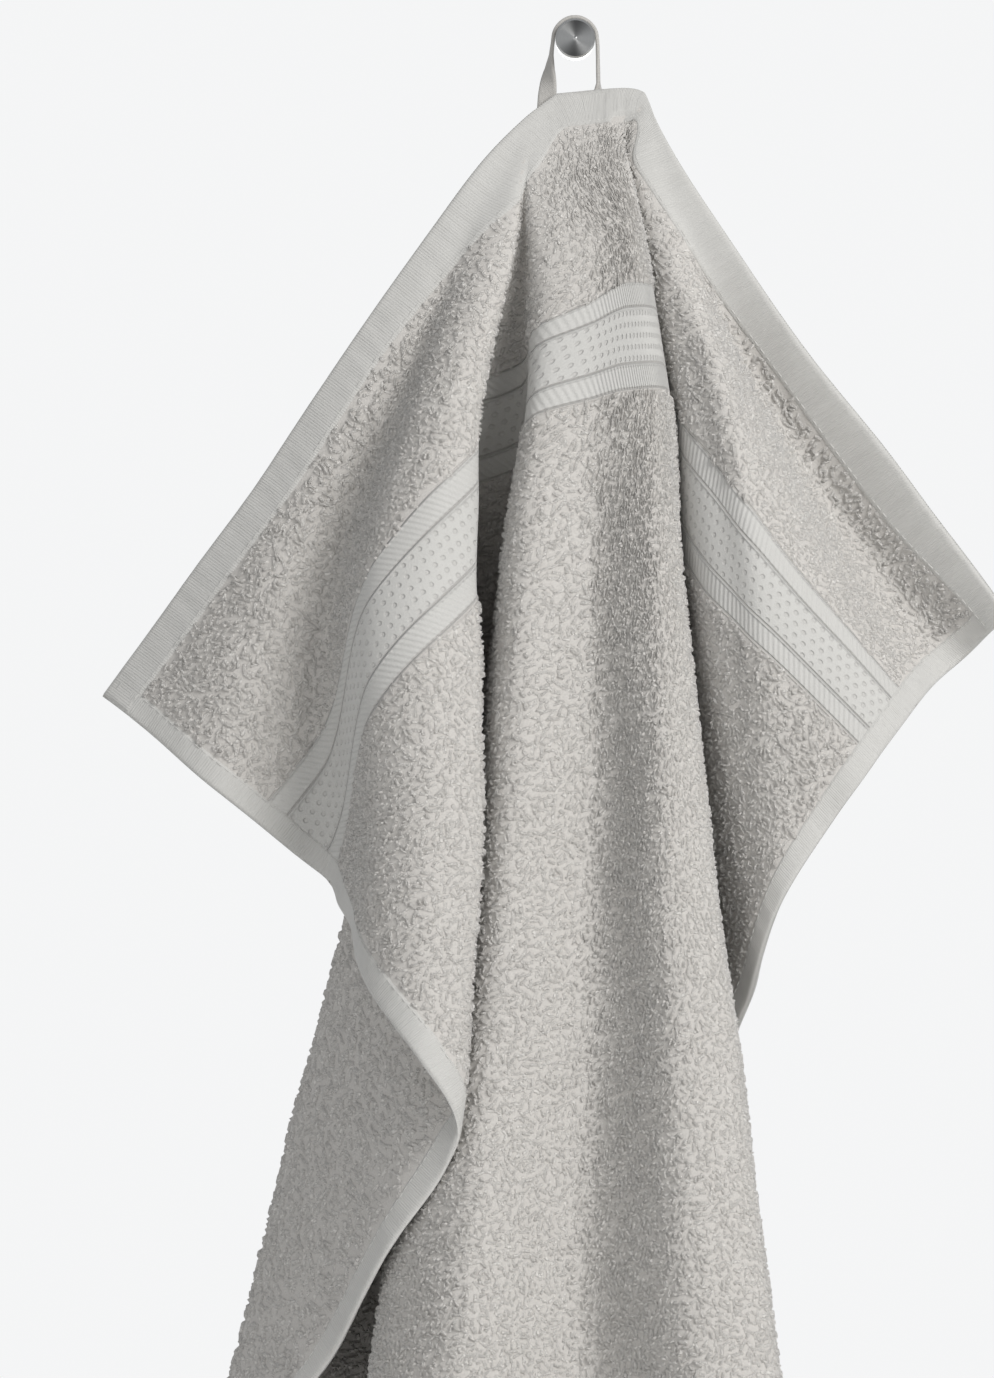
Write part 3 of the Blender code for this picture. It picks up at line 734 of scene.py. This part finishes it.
def make_stitches(name, finish, rows):
    """Short raised stitches, in rows on the flat towel.

    rows: first place, last place, side, lift off the cloth's middle.
    """
    # A stitch's half rings, at shares of its length, with their size
    # along, scale
    sizes = ((-0.5, 0.35), (-0.25, 1.0), (0.25, 1.0), (0.5, 0.35))
    rings = []
    for along, scale in sizes:
        for k in range(STITCH_RING):
            angle = math.pi * k / (STITCH_RING - 1)
            rings.append((along, math.cos(angle) * scale / 2, math.sin(angle) * scale))
    shape = np.array(rings)
    quads = []
    for ring in range(len(sizes) - 1):
        for k in range(STITCH_RING - 1):
            a = ring * STITCH_RING + k
            quads.append((a, a + 1, a + STITCH_RING + 1, a + STITCH_RING))
    quads = np.array(quads)
    along = shape[None, :, 0] * STITCH_LENGTH
    aside = shape[None, :, 1] * STITCH_WIDTH
    up = shape[None, :, 2] * STITCH_HEIGHT
    all_points = []
    all_faces = []
    total = 0
    for first, last, side, lift in rows:
        first = np.array(first, float)
        last = np.array(last, float)
        reach = np.linalg.norm(last - first)
        way = (last - first) / reach
        count = int(reach / STITCH_SPACING)
        centres = first + way * ((np.arange(count) + 0.5) * STITCH_SPACING)[:, None]
        places = np.stack(
            [
                centres[:, :1] + along * way[0] - aside * way[1],
                centres[:, 1:] + along * way[1] + aside * way[0],
                np.broadcast_to(side * (lift + up), (count, len(shape))),
            ],
            axis=2,
        ).reshape(-1, 3)
        all_points.append(hang(places) / 1000)
        faces = quads if side > 0 else quads[:, ::-1]
        all_faces.append((np.arange(count)[:, None, None] * len(shape) + faces[None] + total).reshape(-1, 4))
        total += len(places)
    thing = joined_shapes(name, np.vstack(all_points), [np.vstack(all_faces)], {})
    return finish_piece(thing, finish)


def make_tape(finish):
    """The hanging loop: a flat woven tape with slightly rounded edges."""
    thing = flat_slab("loop_tape", TAPE_COLUMNS, (len(TAPE_PATH) - 1) * TAPE_STEPS)
    flat = mesh_points(thing.data)
    path = np.array([row[:3] for row in TAPE_PATH], float)
    turns = np.array([row[3] for row in TAPE_PATH], float)
    line = rounded_curve(path, TAPE_STEPS)
    turn = np.radians(np.interp(np.arange(len(line)) / TAPE_STEPS, np.arange(len(turns)), turns))
    way = np.gradient(line, axis=0)
    way /= np.linalg.norm(way, axis=1, keepdims=True)
    level = np.array([0.0, 1.0, 0.0]) - way * way[:, 1:2]
    level /= np.linalg.norm(level, axis=1, keepdims=True)
    side = np.cross(way, level)
    width = level * np.cos(turn)[:, None] + side * np.sin(turn)[:, None]
    thick = np.cross(way, width)
    step = np.rint(flat[:, 1] * (len(line) - 1)).astype(int)
    aside = np.sin((flat[:, 0] - 0.5) * math.pi) * TAPE_WIDTH / 2
    into_edge = np.clip(np.abs(aside) - TAPE_WIDTH / 2 + TAPE_EDGE_ROUND, 0, TAPE_EDGE_ROUND)
    round_off = np.sqrt(1 - into_edge**2 / TAPE_EDGE_ROUND**2)
    full_height = TAPE_THICKNESS / 2 - TAPE_CLEARANCE
    height = flat[:, 2] * full_height * (TAPE_EDGE_SHARE + (1 - TAPE_EDGE_SHARE) * round_off)
    points = line[step] + width[step] * aside[:, None] + thick[step] * height[:, None]
    along = np.concatenate([[0.0], np.cumsum(np.linalg.norm(np.diff(line, axis=0), axis=1))])
    set_mesh_points(thing.data, points / 1000)
    set_pattern(thing.data, np.stack([along[step], aside + TAPE_WIDTH / 2], axis=1) / 1000)
    face_outwards(thing)
    return finish_piece(thing, finish)


def new_material(name, colour, roughness):
    made = bpy.data.materials.new(name)
    made.use_nodes = True
    shader = made.node_tree.nodes["Principled BSDF"]
    shader.inputs["Base Color"].default_value = (*colour, 1.0)
    shader.inputs["Roughness"].default_value = roughness
    return made, shader


def maths(tree, operation, first, second=0.0, third=0.0):
    """A Math node. Each input is a number or another node's output."""
    made = tree.nodes.new("ShaderNodeMath")
    made.operation = operation
    for k, value in enumerate((first, second, third)):
        if isinstance(value, bpy.types.NodeSocket):
            tree.links.new(value, made.inputs[k])
        else:
            made.inputs[k].default_value = value
    return made.outputs[0]


def blend_colours(tree, share, low, high):
    """The low colour where share is 0 and the high one where it is 1. Each may be a node's output."""
    made = tree.nodes.new("ShaderNodeMix")
    made.data_type = "RGBA"
    for key, value in (("Factor", share), ("A", low), ("B", high)):
        socket = [s for s in made.inputs if s.name == key and s.enabled][0]
        if isinstance(value, bpy.types.NodeSocket):
            tree.links.new(value, socket)
        elif key == "Factor":
            socket.default_value = value
        else:
            socket.default_value = (*value, 1.0)
    return [s for s in made.outputs if s.enabled][0]


def noise(tree, place, scale, detail=3.0, roughness=0.55):
    made = tree.nodes.new("ShaderNodeTexNoise")
    made.inputs["Scale"].default_value = scale
    made.inputs["Detail"].default_value = detail
    made.inputs["Roughness"].default_value = roughness
    tree.links.new(place, made.inputs["Vector"])
    return made.outputs["Fac"]


def cloth_place(tree):
    """The cloth's own coordinates in metres: the vector, across and down."""
    place = tree.nodes.new("ShaderNodeUVMap")
    place.uv_map = "cloth"
    split = tree.nodes.new("ShaderNodeSeparateXYZ")
    tree.links.new(place.outputs["UV"], split.inputs[0])
    return place.outputs["UV"], split.outputs["X"], split.outputs["Y"]


def object_place(tree):
    return tree.nodes.new("ShaderNodeTexCoord").outputs["Object"]


def raise_surface(tree, shader, height, distance, strength):
    bump = tree.nodes.new("ShaderNodeBump")
    bump.inputs["Strength"].default_value = strength
    bump.inputs["Distance"].default_value = distance
    tree.links.new(height, bump.inputs["Height"])
    tree.links.new(bump.outputs["Normal"], shader.inputs["Normal"])


def line_profile(tree, value, centre, width):
    """1 on the line at centre, falling to 0 at width from it."""
    away = maths(tree, "ABSOLUTE", maths(tree, "SUBTRACT", value, centre))
    return maths(tree, "MAXIMUM", maths(tree, "SUBTRACT", 1.0, maths(tree, "DIVIDE", away, width)), 0.0)


def inside_band(tree, value, low, high):
    above = maths(tree, "GREATER_THAN", value, low)
    below = maths(tree, "LESS_THAN", value, high)
    return maths(tree, "MULTIPLY", above, below)


# The colours of the cloth and the steel, with the painted shade of the pile and the painted reflection of the
# steel
TERRY_LIGHT = (0.77, 0.745, 0.705)
TERRY_DARK = (0.63, 0.605, 0.57)
# The colour of the painted shade at the pile's roots, in the gaps between its yarns, on the ground under it
# and in the border's pits and grooves
TERRY_PAINTED_SHADE = (0.41, 0.39, 0.365)
HEM_LIGHT = (0.565, 0.555, 0.53)
HEM_DARK = (0.47, 0.46, 0.435)
TAPE_LIGHT = (0.50, 0.485, 0.46)
TAPE_DARK = (0.38, 0.365, 0.34)
STEEL = (0.60, 0.60, 0.59)
STEEL_DARK = (0.50, 0.50, 0.49)
STEEL_LIGHT = (0.68, 0.68, 0.67)
# The dark of the painted reflection on the peg's turned face
STEEL_PAINTED_REFLECTION = (0.03, 0.03, 0.03)

# Sizes of the patterns, in metres. A pit's radius is a share of the spacing of the pits
TWILL_RIDGE = 0.0021
TWILL_SLANT = -0.55
PIT_RADIUS = 0.27
CORD_SHIFT = 0.0004
CORD_WIDTH = 0.0006
GROOVE_WIDTH = 0.0005
HEM_THREAD = 0.00085
TAPE_RIB = 0.0007
TAPE_THREAD = 0.0009
FACE_RADIUS = 0.0058

# The fine lines between the yarns of the pile, bumped down and darkened with painted shade
LINE_SHARPNESS = 14.0
GAP_DEPTH = 1.2
GAP_SHADE = 0.4


def soft_shader(shader):
    shader.inputs["Sheen Weight"].default_value = 0.25
    shader.inputs["Sheen Roughness"].default_value = 0.5
    shader.inputs["Specular IOR Level"].default_value = 0.2


def worm_lines(tree, place, scale):
    """1 on fine wriggling lines and 0 between them."""
    mist = noise(tree, place, scale, detail=1.5, roughness=0.5)
    away = maths(tree, "ABSOLUTE", maths(tree, "SUBTRACT", mist, 0.5))
    off_line = maths(tree, "MULTIPLY", away, LINE_SHARPNESS)
    return maths(tree, "MAXIMUM", maths(tree, "SUBTRACT", 1.0, off_line), 0.0)


def terry_material():
    """Looped pile: each loop has its own tone and painted shade towards its root, and shows its twisted yarn
    in fine lines that are bumped down and darkened with painted shade.
    """
    made, shader = new_material("terry_loops", TERRY_LIGHT, roughness=0.95)
    tree = made.node_tree
    tone = tree.nodes.new("ShaderNodeAttribute")
    tone.attribute_name = "tone"
    tip = tree.nodes.new("ShaderNodeAttribute")
    tip.attribute_name = "tip"
    place = object_place(tree)
    patches = noise(tree, place, scale=38.0)
    own_tone = maths(tree, "MULTIPLY", tone.outputs["Fac"], 0.55)
    fleck = maths(tree, "ADD", own_tone, maths(tree, "MULTIPLY", patches, 0.45))
    yarn = blend_colours(tree, fleck, TERRY_DARK, TERRY_LIGHT)
    # Painted shade: each loop is darker towards its root
    colour = blend_colours(tree, maths(tree, "POWER", tip.outputs["Fac"], 0.5), TERRY_PAINTED_SHADE, yarn)
    # Painted shade: the fine lines between the yarns are darkened as well as bumped down
    gaps = maths(tree, "MAXIMUM", worm_lines(tree, place, 520.0), worm_lines(tree, place, 820.0))
    shaded = blend_colours(tree, maths(tree, "MULTIPLY", gaps, GAP_SHADE), colour, TERRY_PAINTED_SHADE)
    tree.links.new(shaded, shader.inputs["Base Color"])
    fuzz = noise(tree, place, scale=2600.0, detail=2.0)
    height = maths(tree, "SUBTRACT", fuzz, maths(tree, "MULTIPLY", gaps, GAP_DEPTH))
    raise_surface(tree, shader, height, distance=0.00035, strength=0.7)
    soft_shader(shader)
    return made


def ground_material():
    """The woven ground: plain under the loops and darkened there with painted shade, and twill strips with a
    strip of pits where the border is, with painted shade in the pits and grooves.
    """
    made, shader = new_material("ground_weave", TERRY_PAINTED_SHADE, roughness=0.9)
    tree = made.node_tree
    place, across, down = cloth_place(tree)
    length = TOWEL_LENGTH / 1000
    from_end = maths(tree, "MINIMUM", down, maths(tree, "SUBTRACT", length, down))
    start = BORDER_START / 1000
    twill = TWILL_DEPTH / 1000
    end = BORDER_END / 1000
    on_border = inside_band(tree, from_end, start, end)
    on_pits = inside_band(tree, from_end, start + twill, end - twill)
    on_twill = maths(tree, "SUBTRACT", on_border, on_pits)
    # Twill: slanted fine ridges
    slant = maths(tree, "ADD", across, maths(tree, "MULTIPLY", from_end, TWILL_SLANT))
    ridge = maths(tree, "SINE", maths(tree, "MULTIPLY", slant, 2 * math.pi / TWILL_RIDGE))
    ridge = maths(tree, "MULTIPLY_ADD", ridge, 0.5, 0.5)
    # Pits: staggered rows
    spacing = PIT_SPACING / 1000
    row = maths(tree, "DIVIDE", maths(tree, "SUBTRACT", from_end, start + twill), spacing)
    row_number = maths(tree, "FLOOR", row)
    shift = maths(tree, "MULTIPLY", maths(tree, "MODULO", row_number, 2.0), 0.5)
    column = maths(tree, "ADD", maths(tree, "DIVIDE", across, spacing), shift)
    along = maths(tree, "SUBTRACT", maths(tree, "FRACT", column), 0.5)
    aside = maths(tree, "SUBTRACT", maths(tree, "FRACT", row), 0.5)
    squares = maths(tree, "ADD", maths(tree, "MULTIPLY", along, along), maths(tree, "MULTIPLY", aside, aside))
    away = maths(tree, "SQRT", squares)
    pit = maths(tree, "SUBTRACT", 1.0, maths(tree, "DIVIDE", away, PIT_RADIUS))
    pit = maths(tree, "MULTIPLY", maths(tree, "MAXIMUM", pit, 0.0), on_pits)
    pit = maths(tree, "MINIMUM", maths(tree, "MULTIPLY", pit, 2.0), 1.0)
    # The cords at the strips' edges, each with a groove beside it that is bumped down and darkened with
    # painted shade
    cord = None
    groove = None
    for line in (start, start + twill, end - twill, end):
        one_cord = line_profile(tree, from_end, line + CORD_SHIFT, CORD_WIDTH)
        one_groove = line_profile(tree, from_end, line - CORD_SHIFT, GROOVE_WIDTH)
        cord = one_cord if cord is None else maths(tree, "MAXIMUM", cord, one_cord)
        groove = one_groove if groove is None else maths(tree, "MAXIMUM", groove, one_groove)
    weave = noise(tree, place, scale=1500.0, detail=2.0)
    height = maths(tree, "MULTIPLY", maths(tree, "MULTIPLY", ridge, on_twill), 0.55)
    height = maths(tree, "SUBTRACT", height, pit)
    height = maths(tree, "ADD", height, maths(tree, "MULTIPLY", cord, 1.1))
    height = maths(tree, "SUBTRACT", height, maths(tree, "MULTIPLY", groove, 1.2))
    height = maths(tree, "ADD", height, maths(tree, "MULTIPLY", weave, 0.5))
    raise_surface(tree, shader, height, distance=0.0004, strength=0.9)
    flat_weave = blend_colours(tree, weave, HEM_DARK, HEM_LIGHT)
    # Painted shade in the pits and in the grooves beside the cords
    shade = maths(tree, "MAXIMUM", maths(tree, "MULTIPLY", pit, 0.22), maths(tree, "MULTIPLY", groove, 0.8))
    border = blend_colours(tree, shade, flat_weave, TERRY_PAINTED_SHADE)
    # Painted shade: the ground under the loops is darkened
    under = blend_colours(tree, weave, TERRY_PAINTED_SHADE, TERRY_DARK)
    tree.links.new(blend_colours(tree, on_border, under, border), shader.inputs["Base Color"])
    soft_shader(shader)
    return made


def hem_material():
    """Flat woven hem with fine ribs across it."""
    made, shader = new_material("hem_weave", HEM_LIGHT, roughness=0.9)
    tree = made.node_tree
    place, along, _ = cloth_place(tree)
    stretch = tree.nodes.new("ShaderNodeMapping")
    stretch.inputs["Scale"].default_value = (1.0, 0.12, 1.0)
    tree.links.new(place, stretch.inputs["Vector"])
    ribs = noise(tree, stretch.outputs["Vector"], scale=900.0, detail=2.0, roughness=0.6)
    threads = maths(tree, "SINE", maths(tree, "MULTIPLY", along, 2 * math.pi / HEM_THREAD))
    weave = noise(tree, place, scale=1700.0, detail=2.0)
    height = maths(tree, "ADD", maths(tree, "MULTIPLY", ribs, 0.9), maths(tree, "MULTIPLY", threads, 0.16))
    height = maths(tree, "ADD", height, maths(tree, "MULTIPLY", weave, 0.35))
    raise_surface(tree, shader, height, distance=0.00035, strength=0.7)
    patches = noise(tree, place, scale=90.0)
    share = maths(tree, "ADD", maths(tree, "MULTIPLY", ribs, 0.6), maths(tree, "MULTIPLY", patches, 0.4))
    tree.links.new(blend_colours(tree, share, HEM_DARK, HEM_LIGHT), shader.inputs["Base Color"])
    soft_shader(shader)
    return made


def tape_material():
    """Narrow woven tape: fine ribs across it and fine threads along it."""
    made, shader = new_material("tape_weave", TAPE_LIGHT, roughness=0.85)
    tree = made.node_tree
    place, along, aside = cloth_place(tree)
    ribs = maths(tree, "SINE", maths(tree, "MULTIPLY", along, 2 * math.pi / TAPE_RIB))
    threads = maths(tree, "SINE", maths(tree, "MULTIPLY", aside, 2 * math.pi / TAPE_THREAD))
    weave = maths(tree, "MULTIPLY", ribs, threads)
    grain = noise(tree, place, scale=1400.0, detail=2.0)
    height = maths(tree, "ADD", maths(tree, "MULTIPLY", weave, 0.3), grain)
    raise_surface(tree, shader, height, distance=0.00025, strength=0.7)
    tree.links.new(blend_colours(tree, grain, TAPE_DARK, TAPE_LIGHT), shader.inputs["Base Color"])
    soft_shader(shader)
    return made


def steel_material():
    """Turned steel: fine rings round the peg's middle, which stretch the highlights into rays, and a painted
    reflection on the turned face.
    """
    made, shader = new_material("turned_steel", STEEL, roughness=0.28)
    tree = made.node_tree
    shader.inputs["Metallic"].default_value = 1.0
    shader.inputs["Anisotropic"].default_value = 0.85
    place = object_place(tree)
    split = tree.nodes.new("ShaderNodeSeparateXYZ")
    tree.links.new(place, split.inputs[0])
    aside = split.outputs["X"]
    up = split.outputs["Z"]
    squares = maths(tree, "ADD", maths(tree, "MULTIPLY", aside, aside), maths(tree, "MULTIPLY", up, up))
    radius = maths(tree, "SQRT", squares)
    ring_place = tree.nodes.new("ShaderNodeCombineXYZ")
    tree.links.new(radius, ring_place.inputs["X"])
    rings = noise(tree, ring_place.outputs[0], scale=4200.0, detail=2.0)
    raise_surface(tree, shader, rings, distance=0.00004, strength=0.5)
    tangent = tree.nodes.new("ShaderNodeTangent")
    tangent.direction_type = "RADIAL"
    tangent.axis = "Y"
    tree.links.new(tangent.outputs[0], shader.inputs["Tangent"])
    tone = blend_colours(tree, rings, STEEL_DARK, STEEL_LIGHT)
    # Painted reflection: the turned face is painted dark above and below its middle and left light to both
    # sides
    upright = maths(tree, "DIVIDE", maths(tree, "ABSOLUTE", up), maths(tree, "ADD", radius, 0.0004))
    dark = maths(tree, "POWER", maths(tree, "MINIMUM", upright, 1.0), 2.0)
    dark = maths(tree, "MULTIPLY", dark, maths(tree, "LESS_THAN", radius, FACE_RADIUS))
    tree.links.new(blend_colours(tree, dark, tone, STEEL_PAINTED_REFLECTION), shader.inputs["Base Color"])
    return made


CAMERA_LENS = 489.0
CAMERA_SENSOR = 36.0
CAMERA_PLACE = (-0.0252, -6.06, -0.2095)
FLOOR_RADIUS = 2.6
FLOOR_HEIGHT = -1.1
FLOOR_COLOUR = (0.86, 0.86, 0.85)
LAMP_AIM = (0.0, -0.06, -0.25)
SEEN_SKY = (0.91, 0.915, 0.92)
SOFT_SKY = (0.95, 0.97, 1.0)
SOFT_SKY_STRENGTH = 0.43

# The lamps, each facing the towel
# name, x, y, z, size, watts
LAMPS = (
    ("key_light", 1.4, -1.75, 0.9, 1.2, 51.0),
    ("fill_light", -1.8, -2.2, 0.0, 2.0, 11.0),
    ("back_light", 0.4, 2.4, 0.6, 2.0, 26.0),
)


def make_studio():
    """The camera, the pale floor, the lamps and the sky, which the camera sees brighter than it lights."""
    scene = bpy.context.scene
    scene.view_settings.view_transform = "Standard"
    camera = bpy.data.cameras.new("camera")
    camera.lens = CAMERA_LENS
    camera.sensor_width = CAMERA_SENSOR
    seen = bpy.data.objects.new("camera", camera)
    seen.location = CAMERA_PLACE
    seen.rotation_euler = (math.pi / 2, 0.0, 0.0)
    scene.collection.objects.link(seen)
    scene.camera = seen
    made = bmesh.new()
    bmesh.ops.create_circle(made, cap_ends=True, radius=FLOOR_RADIUS, segments=96)
    bmesh.ops.translate(made, verts=made.verts, vec=(0.0, 0.0, FLOOR_HEIGHT))
    mesh = bpy.data.meshes.new("studio_floor")
    made.to_mesh(mesh)
    made.free()
    floor = bpy.data.objects.new("studio_floor", mesh)
    scene.collection.objects.link(floor)
    pale, _ = new_material("pale_floor", FLOOR_COLOUR, roughness=0.9)
    mesh.materials.append(pale)
    for name, x, y, z, size, watts in LAMPS:
        lamp = bpy.data.lights.new(name, "AREA")
        lamp.shape = "DISK"
        lamp.size = size
        lamp.energy = watts
        thing = bpy.data.objects.new(name, lamp)
        thing.location = (x, y, z)
        way = Vector(np.array(LAMP_AIM) - (x, y, z))
        thing.rotation_mode = "QUATERNION"
        thing.rotation_quaternion = way.to_track_quat("-Z", "Y")
        scene.collection.objects.link(thing)
    world = bpy.data.worlds.new("studio")
    scene.world = world
    world.use_nodes = True
    tree = world.node_tree
    tree.nodes.clear()
    out = tree.nodes.new("ShaderNodeOutputWorld")
    seen_sky = tree.nodes.new("ShaderNodeBackground")
    seen_sky.inputs["Color"].default_value = (*SEEN_SKY, 1.0)
    soft_sky = tree.nodes.new("ShaderNodeBackground")
    soft_sky.inputs["Color"].default_value = (*SOFT_SKY, 1.0)
    soft_sky.inputs["Strength"].default_value = SOFT_SKY_STRENGTH
    ray = tree.nodes.new("ShaderNodeLightPath")
    mixed = tree.nodes.new("ShaderNodeMixShader")
    tree.links.new(ray.outputs["Is Camera Ray"], mixed.inputs[0])
    tree.links.new(soft_sky.outputs[0], mixed.inputs[1])
    tree.links.new(seen_sky.outputs[0], mixed.inputs[2])
    tree.links.new(mixed.outputs[0], out.inputs[0])


make_studio()

terry = terry_material()
hem_weave = hem_material()
ground = make_ground_cloth(ground_material())

side_top = SIDE_HEM_SHORT
side_foot = TOWEL_LENGTH - SIDE_HEM_SHORT
right_start = TOWEL_WIDTH - SIDE_HEM_WIDTH
foot_start = TOWEL_LENGTH - TOP_HEM_DEPTH
# name, first corner, last corner, runs down, faces across, faces along, thickness
HEMS = (
    ("side_hem_left", (0.0, side_top), (SIDE_HEM_WIDTH, side_foot), True, 8, 420, SIDE_HEM_THICKNESS),
    ("side_hem_right", (right_start, side_top), (TOWEL_WIDTH, side_foot), True, 8, 420, SIDE_HEM_THICKNESS),
    ("top_hem", (0.0, 0.0), (TOWEL_WIDTH, TOP_HEM_DEPTH), False, 12, 440, TOP_HEM_THICKNESS),
    ("bottom_hem", (0.0, foot_start), (TOWEL_WIDTH, TOWEL_LENGTH), False, 12, 200, TOP_HEM_THICKNESS),
)
extras = [make_hem(name, hem_weave, *rest) for name, *rest in HEMS]

chance = np.random.default_rng(7)
for side, word, spacing, pieces, size in (
    (1, "front", FRONT_LOOP_SPACING, FRONT_PIECES, FRONT_LOOP_SIZE),
    (-1, "back", BACK_LOOP_SPACING, BACK_PIECES, BACK_LOOP_SIZE),
):
    u, v = loop_places(spacing, chance)
    for k, part in enumerate(np.array_split(np.arange(len(u)), pieces)):
        extras.append(make_terry(f"terry_{word}_{k + 1}", terry, side, u[part], v[part], chance, *size))

side_lift = SIDE_HEM_THICKNESS / 2 - STITCH_SUNK
end_lift = TOP_HEM_THICKNESS / 2 - STITCH_SUNK
stitch_rows = []
for side in (1, -1):
    for u in (SIDE_LINE, TOWEL_WIDTH - SIDE_LINE):
        stitch_rows.append(((u, TOP_HEM_DEPTH + 1), (u, TOWEL_LENGTH - TOP_HEM_DEPTH - 1), side, side_lift))
    for v in (END_LINE, TOWEL_LENGTH - END_LINE):
        stitch_rows.append(((2, v), (TOWEL_WIDTH - 2, v), side, end_lift))
extras.append(make_stitches("hem_stitches", hem_weave, stitch_rows))

tape_piece = make_tape(tape_material())
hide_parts("hanging_loop")
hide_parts("towel")

steel = steel_material()
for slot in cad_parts["hook"].material_slots:
    slot.material = steel
